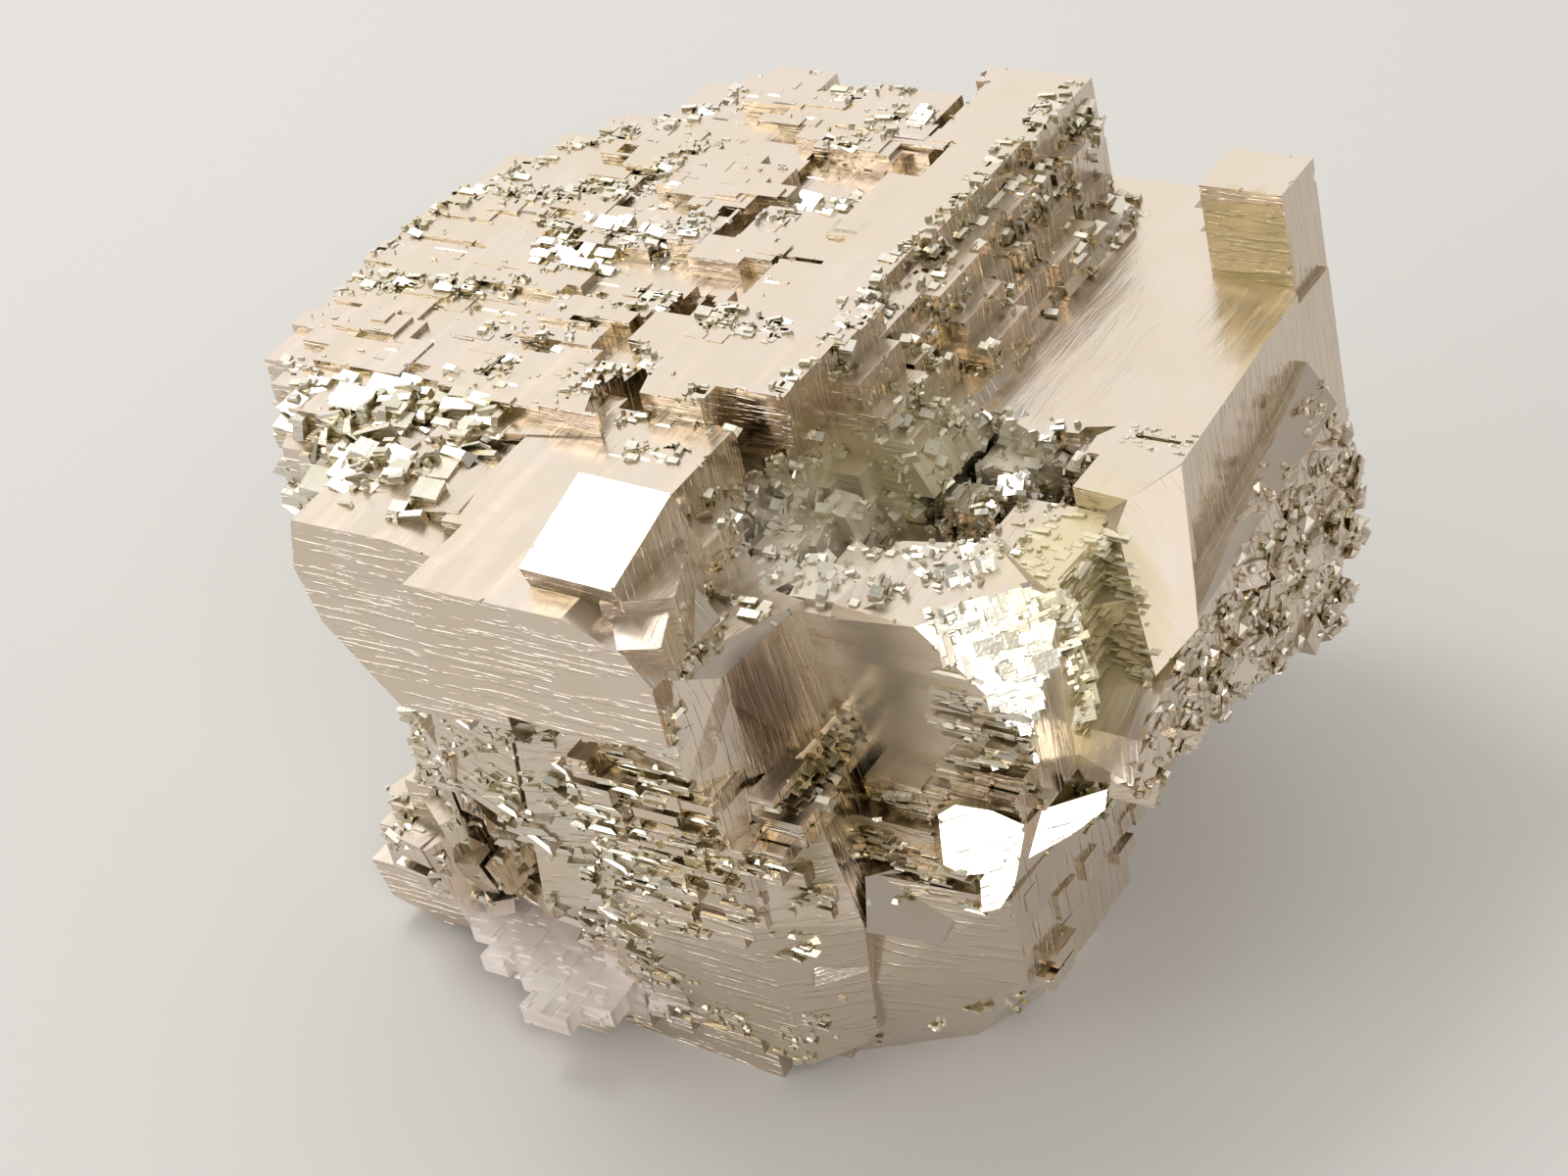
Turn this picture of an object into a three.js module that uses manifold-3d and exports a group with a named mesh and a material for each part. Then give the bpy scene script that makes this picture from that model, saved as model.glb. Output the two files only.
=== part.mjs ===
// A cluster of intergrown pyrite cubes, a hand specimen about 60 mm across.
// Millimetres. +Z up, -Y towards the front, the crystals' own axes along X, Y and Z.
// While it is built, X and Y count from a point near the middle and Z counts from the base;
// at the end the origin moves to the bottom centre of the whole specimen.

import * as THREE from "three";
import { ConvexGeometry } from "three/addons/geometries/ConvexGeometry.js";
import { mergeVertices } from "three/addons/utils/BufferGeometryUtils.js";
import Module from "manifold-3d";

const wasm = await Module();
wasm.setup();

// ---- driving dimensions ----

const PLATEAU_TOP = 38.5; // the high stepped plateau at the back left
const TERRACE_TOP = 37; // the smooth terrace in front of it
const SHELF_TOP = 31.5; // the large smooth shelf on the right
const NUB_TOP = 31; // the crystal with a cut corner, front right
const PIT_FLOOR = 27.5; // the rough hollow between them
const FLANK_X = 24; // outer face of the knobby flank under the shelf
const NUB_X = 20.6; // right face of the nub
const TERRACE_Y = -19.5; // front face of the terrace
const WING_Y = -16; // front face of the wing left of it
const NICHE_Y = -8; // the smooth wall set back under the nub
const FOOT_Y = -14; // the front wall near the base
const GRID = 0.05; // every plane of an upright crystal lies on this grid

// ---- seeded numbers ----

function randomFrom(seed) {
  let state = seed;
  return () => {
    state = (state + 0x6d2b79f5) | 0;
    let t = Math.imul(state ^ (state >>> 15), 1 | state);
    t = (t + Math.imul(t ^ (t >>> 7), 61 | t)) ^ t;
    return ((t ^ (t >>> 14)) >>> 0) / 4294967296;
  };
}
const between = (random, low, high) => low + (high - low) * random();
const onGrid = (value) => Math.round(value / GRID) * GRID;

// ---- solids ----

function solidOf(geometry) {
  geometry.deleteAttribute("normal");
  geometry.deleteAttribute("uv");
  const merged = mergeVertices(geometry, 1e-4);
  const vertProperties = merged.attributes.position.array;
  const triVerts = new Uint32Array(merged.index.array);
  return new wasm.Manifold(new wasm.Mesh({ numProp: 3, vertProperties, triVerts }));
}

// The two axes of an outline and the way it is pushed, for a prism along each crystal axis.
const FRAMES = {
  x: [new THREE.Vector3(0, 1, 0), new THREE.Vector3(0, 0, 1), new THREE.Vector3(1, 0, 0)],
  y: [new THREE.Vector3(1, 0, 0), new THREE.Vector3(0, 0, 1), new THREE.Vector3(0, -1, 0)],
  z: [new THREE.Vector3(1, 0, 0), new THREE.Vector3(0, 1, 0), new THREE.Vector3(0, 0, 1)],
};

// An outline of [y, z], [x, z] or [x, y] points, pushed along x, y or z from low to high.
function prism(axis, outline, low, high) {
  const shape = new THREE.Shape(outline.map(([u, v]) => new THREE.Vector2(u, v)));
  const geometry = new THREE.ExtrudeGeometry(shape, { depth: high - low, bevelEnabled: false });
  const [across, along, push] = FRAMES[axis];
  geometry.applyMatrix4(new THREE.Matrix4().makeBasis(across, along, push));
  const start = axis === "y" ? high : low;
  const shift = { x: 0, y: 0, z: 0, [axis]: start };
  geometry.translate(shift.x, shift.y, shift.z);
  return solidOf(geometry);
}

// An upright cube or bar between two corners, on the grid.
function block(x0, x1, y0, y1, z0, z1) {
  const [ax, bx, ay, by, az, bz] = [x0, x1, y0, y1, z0, z1].map(onGrid);
  const geometry = new THREE.BoxGeometry(bx - ax, by - ay, bz - az);
  geometry.translate((ax + bx) / 2, (ay + by) / 2, (az + bz) / 2);
  return solidOf(geometry);
}

// A cube or bar about its own centre, turned by angles in degrees about X, Y and Z.
function turnedBlock(centre, size, turn) {
  const geometry = new THREE.BoxGeometry(...size);
  const angles = turn.map(THREE.MathUtils.degToRad);
  geometry.applyMatrix4(new THREE.Matrix4().makeRotationFromEuler(new THREE.Euler(...angles)));
  geometry.translate(...centre);
  return solidOf(geometry);
}

// A convex crystal from its corners.
function crystal(corners) {
  return solidOf(new ConvexGeometry(corners.map((corner) => new THREE.Vector3(...corner))));
}

// A slab with a slanting facet at the front: its corners [x, y] lie on the facet's plane.
function facet(normal, through, corners, depth) {
  const n = new THREE.Vector3(...normal).normalize();
  const reach = n.dot(new THREE.Vector3(...through));
  const front = corners.map(([x, y]) => [x, y, (reach - n.x * x - n.y * y) / n.z]);
  const back = front.map(([x, y, z]) => [x - n.x * depth, y - n.y * depth, z - n.z * depth]);
  return crystal([...front, ...back]);
}

// Joins a list of solids in pairs, which is quicker than one by one.
function join(solids) {
  if (solids.length === 1) return solids[0];
  const half = solids.length >> 1;
  return join(solids.slice(0, half)).add(join(solids.slice(half)));
}

// Drops the points of an outline that lie on a straight run or at the tip of a spike.
function tidied(points) {
  const kept = points.filter(([u, v], i) => {
    const [pu, pv] = points[(i + points.length - 1) % points.length];
    const [nu, nv] = points[(i + 1) % points.length];
    return Math.abs((u - pu) * (nv - v) - (v - pv) * (nu - u)) > 1e-6;
  });
  return kept.length === points.length ? kept : tidied(kept);
}

// Turns the oblique edges of an outline into the stairs that growing cubes leave.
function stairs(outline, tread, seed) {
  const random = randomFrom(seed);
  const points = [];
  outline.forEach(([u, v], i) => {
    const [nextU, nextV] = outline[(i + 1) % outline.length];
    const [du, dv] = [nextU - u, nextV - v];
    const count = Math.floor(Math.min(Math.abs(du), Math.abs(dv)) / tread);
    points.push([onGrid(u), onGrid(v)]);
    const uFirst = random() < 0.5;
    for (let k = 1; k <= count; k++) {
      const drift = k === count ? 0 : between(random, -0.3, 0.3);
      const [before, now] = [points[points.length - 1], (k + drift) / count];
      const [toU, toV] = [onGrid(u + du * now), onGrid(v + dv * now)];
      points.push(uFirst ? [toU, before[1]] : [before[0], toV]);
      if (k < count) points.push([toU, toV]);
    }
  });
  return tidied(points);
}

// A flat crystal plate pushed along an axis, whose corners step back by random amounts.
function plate(random, axis, [u, v], [w, h], low, high) {
  const signs = [[1, 1], [-1, 1], [-1, -1], [1, -1]];
  const outline = signs.flatMap(([su, sv], i) => {
    const [cornerU, cornerV] = [u + (su * w) / 2, v + (sv * h) / 2];
    if (random() < 0.35) return [[cornerU, cornerV]];
    const innerU = cornerU - su * w * between(random, 0.1, 0.4);
    const innerV = cornerV - sv * h * between(random, 0.15, 0.4);
    const notch = [[cornerU, innerV], [innerU, innerV], [innerU, cornerV]];
    return i % 2 ? notch.reverse() : notch;
  });
  return prism(axis, outline.map((point) => point.map(onGrid)), onGrid(low), onGrid(high));
}

// ---- the plateau ----

// its outline seen from above
const PLATEAU = [
  [3.4, 34.8], [3.9, 34.8], [3.9, 27], [3.4, 27], [3.4, 16], [2.9, 16], [2.9, 9], [4.2, 9], [4.2, 5],
  [3.6, 5], [3.6, -0.5], [-0.8, -0.5], [-0.8, -2.2], [-6, -2.2], [-6, -4.8], [-12.4, -6.2],
  [-14.6, -7.4], [-24, -7.4], [-29.4, -3.4], [-31.6, 4], [-32.2, 12.6], [-30.6, 17.4], [-26.2, 24],
  [-22.4, 29.6], [-18.4, 33.2], [-12.9, 33.2], [-12.9, 31.4], [-5.3, 31.4], [-3.2, 34.8],
];

// How far the plateau's stepped part lies below its smooth right strip, at a point.
function plateauDip(x, y) {
  const left = THREE.MathUtils.smoothstep(-x, 4, 26);
  return 0.2 + 0.9 * left + 0.15 * Math.sin(0.55 * y + 0.3 * x);
}

function plateau() {
  const random = randomFrom(11);
  const narrowed = PLATEAU.map(([x, y]) => [x < 0 ? x * 0.93 : x, y > 20 ? y - 2.4 : y]);
  const solids = [
    prism("z", stairs(PLATEAU, 1.8, 11), 32, PLATEAU_TOP - 1.4),
    prism("z", stairs(narrowed, 3.4, 12), 24, 32),
    // the smooth strip along the ridge, and the smooth corner behind the terrace
    prism("z", [
      [3.4, 34.8], [3.9, 34.8], [3.9, 27], [3.4, 27], [3.4, 16], [2.9, 16], [2.9, 9], [4.2, 9], [4.2, 5],
      [3.6, 5], [3.6, -0.5], [-0.8, -0.5], [-0.8, -2.2], [-6, -2.2], [-6, -4.8], [-10, -4.8],
      [-10, -1], [-7.4, -1], [-7.4, 4], [-4.4, 4], [-4.4, 12], [-1.6, 12], [-1.6, 15], [-3, 15],
      [-3, 22], [-0.8, 22], [-0.8, 26], [-2.4, 26], [-2.4, 33], [-3.2, 33], [-3.2, 34.8],
    ], 30, PLATEAU_TOP),
    block(-9.4, -3.2, 26.4, 31.3, 34, PLATEAU_TOP),
    block(-17.6, -13.2, 28.4, 32.8, 34, PLATEAU_TOP - 0.4),
  ];
  for (let k = 0; k < 46; k++) {
    const [x, y] = [between(random, -29, -5), between(random, -5.5, 31)];
    if (y > 17 + (x + 30) * 1.5 || y < -2.4 - (x + 28) * 0.9) continue;
    const [w, d] = [between(random, 4, 11), between(random, 2.2, 5.4)];
    const top = PLATEAU_TOP - plateauDip(x, y) + between(random, -0.2, 0.2);
    solids.push(plate(random, "z", [x, y], [w, d], PLATEAU_TOP - 3, top));
  }
  return solids;
}

function plateauPits() {
  const random = randomFrom(17);
  const above = PLATEAU_TOP + 6;
  const cuts = [
    // a three-cornered pit, a round hole, a slot, and the dark hole behind the wing
    prism("z", [[-6.9, -4.6], [-8.2, -1.4], [-7.6, 1.8], [-5.3, -0.6], [-4.1, -4.6]], 35.4, above),
    block(-8.4, -6.6, 5.6, 9.4, 35.8, above),
    block(-7.2, -5.8, 6.2, 7.8, 34.8, above),
    block(-10.2, -8.6, 13.6, 17.8, 36.4, above),
    block(-19.2, -16.2, -8.2, -5.6, 33.6, above),
  ];
  for (let k = 0; k < 10; k++) {
    const [x, y] = [between(random, -27, -6), between(random, -2, 28)];
    const [w, d] = [between(random, 1, 2.6), between(random, 0.4, 1)];
    cuts.push(block(x - w / 2, x + w / 2, y - d / 2, y + d / 2, PLATEAU_TOP - 1.2, above));
  }
  return cuts;
}

// ---- the terrace and the wing ----

const TERRACE_FACE = [
  [-9, 29.4], [-4.4, 29.2], [1, 28.8], [6.2, 29.6], [6.2, 33.4], [5, 35.3], [3, 36.3],
  [1.4, TERRACE_TOP], [-9, TERRACE_TOP],
];

const WING_FACE = [
  [-19.7, 36.6], [-20.7, 33.1], [-19.9, 29.5], [-16.9, 25.6], [-15.9, 24.4], [-12.7, 24.2], [-8, 24.6],
  [-8, 36], [-9.3, 36], [-13, 36.6],
];

function terraceAndWing() {
  const random = randomFrom(23);
  const solids = [
    prism("y", TERRACE_FACE, TERRACE_Y, -13),
    block(-10.5, 1, -14, -2, 26, TERRACE_TOP),
    block(1, 3.2, -12, -6, 26, 34.6),
    prism("y", WING_FACE, WING_Y, -4),
    // the wing's rough floor, behind its face
    prism("z", stairs([[-9, -15], [-19.4, -15], [-27, -8.4], [-29, -4], [-9, -4]], 2.2, 24), 29, 35),
    // the crystals that stand on the terrace
    turnedBlock([1.2, -14.3, 37], [6, 6.4, 5], [17.3, 0.6, -1.8]),
    turnedBlock([3.8, -15, 35.2], [4, 5, 4.2], [0, 0, 24]),
    turnedBlock([4.5, -17.5, 34.9], [4.2, 2.8, 2.6], [22, 0, 14]),
  ];
  for (let k = 0; k < 26; k++) {
    const [x, y] = [between(random, -26, -10), between(random, -13.5, -6)];
    if (y < -6 - (x + 27) * 0.9) continue;
    const size = between(random, 1.8, 4.2);
    const top = 36.9 - between(random, 0, 1.8);
    const turn = [between(random, -6, 6), between(random, -6, 6), between(random, -12, 12)];
    solids.push(turnedBlock([x, y, top - size / 2], [size, size * 0.8, size * 1.1], turn));
  }
  return solids;
}

// ---- the shelf ----

const SHELF = [
  [3, 35.2], [10, 35.1], [10.7, 34.1], [15.2, 30.4], [20.4, 30.4], [20.4, 26], [21, 25.4], [21.6, 16.8],
  [22.1, 8.4], [20.8, 4.6], [17.3, 4.9], [14.6, 8], [11.5, 9.4], [7.7, 10.6], [3, 12],
];

function shelf() {
  const random = randomFrom(31);
  const solids = [
    prism("z", stairs(SHELF, 1.6, 33), 20, SHELF_TOP),
    // the cube at the far corner, and the post it grows on
    block(15.2, 20.4, 26.2, 30.4, 26, 37.5),
    block(13.4, 20.8, 24.6, 29.8, 17, 30.6),
    // the pale facet that cuts the near corner
    facet([0.824, -0.268, 0.5], [20.8, 4.6, SHELF_TOP], [
      [20.8, 4.6], [22.1, 8.4], [24, 4.7], [24.6, 3.4], [23.8, -0.3], [22.5, 1.5], [21.5, 2.3], [20.8, 3.1],
    ], 5),
  ];
  // the slope along the foot of the ridge, in lengths that stand a little forward or back
  for (let y = 3.6; y < 30; y += 4.6) {
    const x = between(random, -0.7, 0.7);
    solids.push(prism("y", stairs([
      [2.8, 30], [2.8, 37.4], [3.8 + x, 36.9], [7.8 + x, 32.2], [8.8 + x, 30],
    ], 1.1, 35 + y), y, y + 4.6));
  }
  // broken crystals on it, falling away from the ridge
  for (let k = 0; k < 28; k++) {
    const [x, y] = [between(random, 3, 8.4), between(random, 4, 33.4)];
    const [w, d, h] = [between(random, 0.9, 2.6), between(random, 1, 3), between(random, 3, 6)];
    const top = 38 - (x - 3) * 1.25 - between(random, 0, 1.8);
    solids.push(block(x - w / 2, x + w / 2, y - d / 2, y + d / 2, top - h, top));
  }
  return solids;
}

function shelfPits() {
  const above = PLATEAU_TOP + 6;
  return [
    // a chip, deepest in its middle, and a nick
    prism("z", [[13.2, 8.1], [13.9, 8.2], [13.8, 9.4], [15.2, 9.5], [15.3, 10.2], [17, 10.7], [16.3, 9.6],
      [16.4, 8.4], [16.9, 7.7], [16.5, 5.3], [15, 6.5]], 30.9, above),
    block(14.3, 15.9, 7.5, 9.1, 30.2, above),
    block(18.4, 21.2, 10, 10.3, 31.2, above),
  ];
}

// ---- the pit in the middle ----

function pit() {
  const random = randomFrom(41);
  const solids = [
    block(-4, 17, NICHE_Y, 12, 18, PIT_FLOOR),
    prism("y", stairs([[-0.6, 26], [-0.6, 34], [1.4, 33.3], [6.2, 28.6], [6.8, 26]], 1.2, 42), -2.6, 3.7),
    // three bright cubes that lean forward
    turnedBlock([5.5, 0.2, 30.4], [1.7, 1.6, 2.6], [17, 0, -6]),
    turnedBlock([6.2, -4.2, 29.8], [1.2, 1.2, 2.2], [17, 2, 12]),
    turnedBlock([13.2, 5.4, 29.6], [1.5, 1.5, 2.4], [17, 0, 20]),
    // larger crystals in front of them and beside the nub
    turnedBlock([3.4, -1.9, 28.8], [4, 3.2, 4], [4, -4, 12]),
    turnedBlock([4.3, -6.6, 29.2], [3.4, 3, 4], [-4, 3, -20]),
    turnedBlock([7.9, -5.8, 28.9], [3.4, 3, 4], [2, 4, 8]),
    turnedBlock([11.2, -6.3, 30.6], [1.8, 1.8, 1.8], [28, -14, 24]),
  ];
  // the rest rise towards the ridge and the shelf
  for (let k = 0; k < 34; k++) {
    const [x, y] = [between(random, 0.6, 16.4), between(random, -6.5, 11)];
    if (x > 8.4 && y < 0.4) continue;
    const size = between(random, 1.2, 3.4);
    const rise = Math.max(0, 6.5 - x) * 1.1 + Math.max(0, y - 3) * 0.3;
    const top = PIT_FLOOR + rise + between(random, 0.2, 1.6);
    const turn = [between(random, -10, 10), between(random, -10, 10), between(random, -24, 24)];
    const tilt = random() < 0.5 ? turn : [0, 0, 0];
    solids.push(turnedBlock([x, y, top - size].map(onGrid), [size * 1.2, size, size * 2], tilt));
  }
  return solids;
}

// ---- the front ----

const CUT = [1, -1, 1]; // the way the cut corners look
const NUB_CUT = 53.8; // x - y + z on the face that cuts the nub's corner

function frontWall() {
  const nubY = NICHE_Y - 0.1;
  return [
    // the wall under the terrace, leaning back towards the base
    crystal([
      [0.8, -10, 29.8], [0.8, -18.4, 29.8], [6.2, -19, 30], [7.5, -15.4, 30], [7.5, -8, 30],
      [-0.2, -17.2, 20], [6.8, -17.5, 20], [8.4, -13.4, 18], [9, -8, 18],
      [-3.2, -15.4, 8], [-8.6, FOOT_Y + 0.6, 2], [5.4, FOOT_Y - 0.4, 2], [8.4, -12.4, 3], [9, -6, 3],
      [-9, -6, 2],
    ]),
    // the shoulder under the recess beside the niche
    crystal([
      [5, -17.4, 26], [10, -14, 22.4], [10, -8, 22.3], [5, -8, 26.4], [6, -17, 15],
      [11.3, -13.8, 14], [11.3, -8, 14], [6, -15, 5], [9.2, -12.4, 4], [9.2, -8, 4],
    ]),
    // the rough slope between terrace and niche
    crystal([
      [0, -18.6, 34], [5.4, -19.2, 33.6], [7.5, -15.6, 31.6], [7.5, -7.6, 30.8], [0, -7.6, 32],
      [0, -18, 27], [6.4, -19, 27], [7.5, -15, 27], [7.5, -7.6, 27],
    ]),
    // the niche and the steps that come forward under it
    block(7, 14, NICHE_Y, -2, 18, 30.4),
    prism("z", stairs([[7, -9.4], [14.5, -9.6], [19.6, -9], [19.6, 0], [7, 0]], 1.2, 51), 8, 20.6),
    prism("z", stairs([[9, -11], [19.6, -11.2], [20, -4], [20, 6], [9, 6]], 1.4, 52), 12, 19.4),
    crystal([
      [9.5, -12.4, 16.5], [19.8, -11.8, 16.5], [20, 4, 16.5], [9.5, 8, 16.5],
      [9.5, -12.6, 8], [19.4, -11.2, 10], [19.7, -3, 9], [16, 6, 9],
      [5.2, -11.2, 0], [12, -7.1, 0], [14, -3, 0], [14, 3, 0], [5.2, 8, 0],
    ]),
    // the nub, a cube whose outer corner is cut off
    crystal([
      [10, -1.6, NUB_TOP], [15.4, -0.4, NUB_TOP], [NUB_CUT - NUB_TOP - 3.4, -3.4, NUB_TOP],
      [NUB_CUT - NUB_TOP + nubY, nubY, NUB_TOP], [9.4, -7.6, NUB_TOP],
      [NUB_X, -3, NUB_CUT - NUB_X - 3], [NUB_X, nubY, NUB_CUT - NUB_X + nubY], [9.4, nubY, 30.4],
      [9.4, nubY, 20], [NUB_X, nubY, 20], [NUB_X, -2.2, 20], [NUB_X, -2.2, 28], [9.4, -2, 20],
    ]),
    // the rough column between the nub and the shelf
    prism("z", stairs([[16, -3.2], [19.4, -3.2], [19.8, 4.8], [14, 6], [14, -2]], 0.9, 53), 14, 30.2),
    turnedBlock([20.7, 2.5, 26.5], [2.6, 2.4, 1.6], [8, -6, 20]),
    // the bright split crystals under the steps, cut like the nub
    facet(CUT, [18, -12.6, 20.63], [
      [16.8, -12.3], [17.4, -11.5], [19, -10.6], [20.5, -10.1], [20.1, -11.6], [19.4, -12.7], [18.5, -13.4],
      [17.5, -13.7],
    ], 4.4),
    facet(CUT, [19.4, -12.4, 17.63], [
      [19, -12.1], [19.6, -10.9], [19.8, -9.7], [20.1, -9.7], [20.2, -11.7], [19.8, -12.8], [19.1, -13.4],
      [18.7, -12.5],
    ], 4),
    facet(CUT, [20.6, -7.5, 18.23], [
      [19.2, -8.3], [19.7, -7.4], [21.3, -6], [22.4, -4.7], [22.5, -5.4], [21.4, -7.1], [20.1, -8.4],
      [19.5, -9.5],
    ], 4),
    // two leaning crystals beside the cleft
    facet([0.35, -0.72, 0.6], [12.6, -12.8, 15.4], [
      [11.2, -12.6], [12.5, -11.8], [16.4, -10.9], [16.1, -12], [15.6, -13.1], [11.8, -14.3],
    ], 4),
    facet([0.6, -0.62, 0.5], [8.6, -14.9, 10.6], [
      [9.7, -11.9], [10.3, -12.5], [10.5, -13.5], [8.3, -15.6], [8, -14.6], [8.5, -13.5],
    ], 4),
  ];
}

// ---- the knobby flank ----

function flank() {
  const random = randomFrom(61);
  const solids = [crystal([
    // where it leaves the side of the shelf, from the front to the back
    [FLANK_X, -3, 21.6], [FLANK_X, 0.4, 23.2], [FLANK_X, 3.6, 24.2], [23, 8, 23.4], [22, 20.2, 24.6],
    [21.6, 24.4, 27.6],
    // its outer face
    [FLANK_X, 11, 22.4], [FLANK_X, 18.4, 23.6], [23.6, 23.6, 25.6], [FLANK_X, 24.6, 21.4],
    [FLANK_X, 21.6, 16.8], [FLANK_X, 19.2, 13.2], [FLANK_X, 11.4, 15.4], [FLANK_X, 3.4, 18],
    [FLANK_X, -4.6, 19.8],
    // where it is rooted
    [15, 24.5, 27.6], [15, 25.6, 21.4], [15, 22.5, 16], [15, 19.8, 11.6], [15, 11.4, 13.6], [15, 3.4, 16.4],
    [15, -5, 19], [15, -3, 22],
  ])];
  for (let k = 0; k < 34; k++) {
    const y = between(random, -3.4, 24);
    const floor = 18.4 - Math.max(0, y - 4) * 0.36;
    const roof = 21.2 + Math.max(0, y + 1) * 0.16;
    if (roof < floor + 1) continue;
    const z = between(random, floor, roof);
    const size = [between(random, 1.2, 2.6), between(random, 1, 2.6), between(random, 0.8, 2)];
    const turn = [between(random, -30, 30), between(random, -30, 30), between(random, -30, 30)];
    solids.push(turnedBlock([FLANK_X - size[0] * 0.3, y, z], size, turn));
  }
  // the rough side and foot below, near the front
  for (let k = 0; k < 12; k++) {
    const [y, z] = [between(random, -10, 2), between(random, 9, 16)];
    const [w, h, out] = [between(random, 1, 3), between(random, 0.7, 1.8), between(random, 0.1, 0.7)];
    solids.push(block(16, 19.6 + out, y - w / 2, y + w / 2, z - h / 2, z + h / 2));
  }
  for (let k = 0; k < 12; k++) {
    const [x, z] = [between(random, -6, 4), between(random, 1.2, 5)];
    const [w, h, out] = [between(random, 1, 3.2), between(random, 0.6, 1.4), between(random, 0.2, 0.8)];
    solids.push(block(x - w / 2, x + w / 2, FOOT_Y - out, -10, z - h / 2, z + h / 2));
  }
  return solids;
}

// ---- the body and the foot ----

const BODY = [
  [-20, -4], [-10, -9], [0, -9.6], [1.5, -14.5], [6.5, -14.5], [7.5, NICHE_Y], [17.6, NICHE_Y],
  [17.6, -5], [20, 0], [20, 24], [8, 30], [-10, 30], [-22, 21], [-27, 10], [-26, 0],
];

const WAIST = [
  [-21, -4], [-10, -8.6], [-3, -8.6], [-2, -13], [6.5, -13.5], [8, -9], [18.6, -9], [19.4, -2], [17, 3],
  [15, 9], [14, 18], [6, 27], [-10, 28], [-22, 18], [-25, 8], [-23, 0],
];

const FOOT = [
  [-9, FOOT_Y + 0.6], [3, FOOT_Y - 0.2], [6, -11.4], [12, -7.1], [14, -3], [14.4, 3], [11, 14], [4, 23],
  [-10, 22], [-19, 14], [-21, 2], [-17, -8],
];

function bodyAndFoot() {
  return [
    prism("z", stairs(BODY, 3.1, 71), 17, 27),
    prism("z", stairs(WAIST, 2.7, 72), 8, 17),
    prism("z", stairs(FOOT, 2.3, 73), 0, 9),
    // larger cubes on the sides away from the front
    turnedBlock([-25, 7, 25], [12, 15, 13], [0, 0, 8]),
    turnedBlock([-19, 17, 19], [13, 12, 14], [4, -3, -14]),
    turnedBlock([-4, 27, 22], [15, 12, 14], [0, 5, 6]),
    turnedBlock([9, 27, 24], [11, 12, 10], [-4, 0, -8]),
    turnedBlock([-9, 21, 11], [12, 10, 12], [6, 4, 20]),
    turnedBlock([-22, 3, 15], [9, 10, 12], [-5, 4, 30]),
  ];
}

// ---- the block at the lower left, whose crystals stand askew to the others ----

const CORNER_Y = -10.4; // its front face
const CORNER_FACE = [
  [-20.6, 20], [-22.4, 15.6], [-24, 12.4], [-27.4, 8], [-29.2, 4.6], [-28.4, 1.8], [-24.4, 0.6],
  [-12, 1.6], [-3, 4], [-3, 25.4], [-12, 24.6], [-13.4, 22], [-19.4, 21.4],
];
const LEDGE = [
  [-21.7, -8], [-19.2, -13.4], [-17, -13.4], [-17, -15.4], [-15.2, -15.4], [-15.2, -14.8],
  [-13.6, -14.8], [-13.6, -16], [-11.9, -16], [-11.9, -18.3], [-8.6, -18.3], [-8.6, -16.8],
  [-6.4, -16.8], [-6.4, -12.8], [-7, -8],
];

function cornerBlock() {
  const random = randomFrom(81);
  const inner = LEDGE.map(([x, y]) => [x + 0.6, y + 2.4]);
  const solids = [
    prism("y", stairs(CORNER_FACE, 1.5, 82), CORNER_Y, -1),
    prism("z", LEDGE, 3.3, 4.5),
    prism("z", inner, 1.4, 3.8),
    turnedBlock([-22.4, -7.6, 6.4], [8.4, 6.6, 7], [6, -10, -34]),
    turnedBlock([-18.6, -8.4, 14.4], [6.6, 6.4, 7.6], [4, 8, -30]),
    turnedBlock([-13.2, -9.8, 18.8], [8, 7.4, 7.4], [-4, 5, -16]),
    turnedBlock([-6.6, -11, 17], [7.6, 7, 13], [-4, 4, 12]),
    turnedBlock([-8, -9.8, 9.6], [7, 6, 7], [8, -6, 30]),
    turnedBlock([-18.8, -10.6, 7.6], [8, 3, 2.4], [6, -28, -14]),
    turnedBlock([-21, -10.2, 10.4], [6, 2.6, 1.6], [4, -26, -16]),
  ];
  for (let k = 0; k < 30; k++) {
    const size = between(random, 1, 2.6);
    const [x, z] = [between(random, -27, -4), between(random, 5.4, 22)];
    if (x - size < -20 - (20 - z) * 0.62) continue;
    const wall = CORNER_Y - 0.8 - Math.max(0, x + 12) * 0.36;
    const turn = [between(random, -14, 14), between(random, -14, 14), between(random, -44, 4)];
    solids.push(turnedBlock([x, wall, z], [size * 1.8, size, size * 0.7], turn));
  }
  return solids;
}

// The cleft that splits the block from top to bottom.
const cornerCleft = () => turnedBlock([-17.2, -12.4, 11], [0.8, 6, 9], [0, -12, 0]);

// ---- combed walls ----

// Thin bars against a front wall, whose treads make the wall look combed.
function combedWall({ seed, count, x, z, wallAt }) {
  const random = randomFrom(seed);
  return Array.from({ length: count }, () => {
    const [midX, midZ] = [between(random, ...x), between(random, ...z)];
    const [w, h, out] = [between(random, 1, 3.6), between(random, 0.35, 1.1), between(random, 0.2, 1)];
    const wall = wallAt(midX, midZ);
    return block(midX - w / 2, midX + w / 2, wall - out, wall + 3, midZ - h / 2, midZ + h / 2);
  });
}

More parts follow.
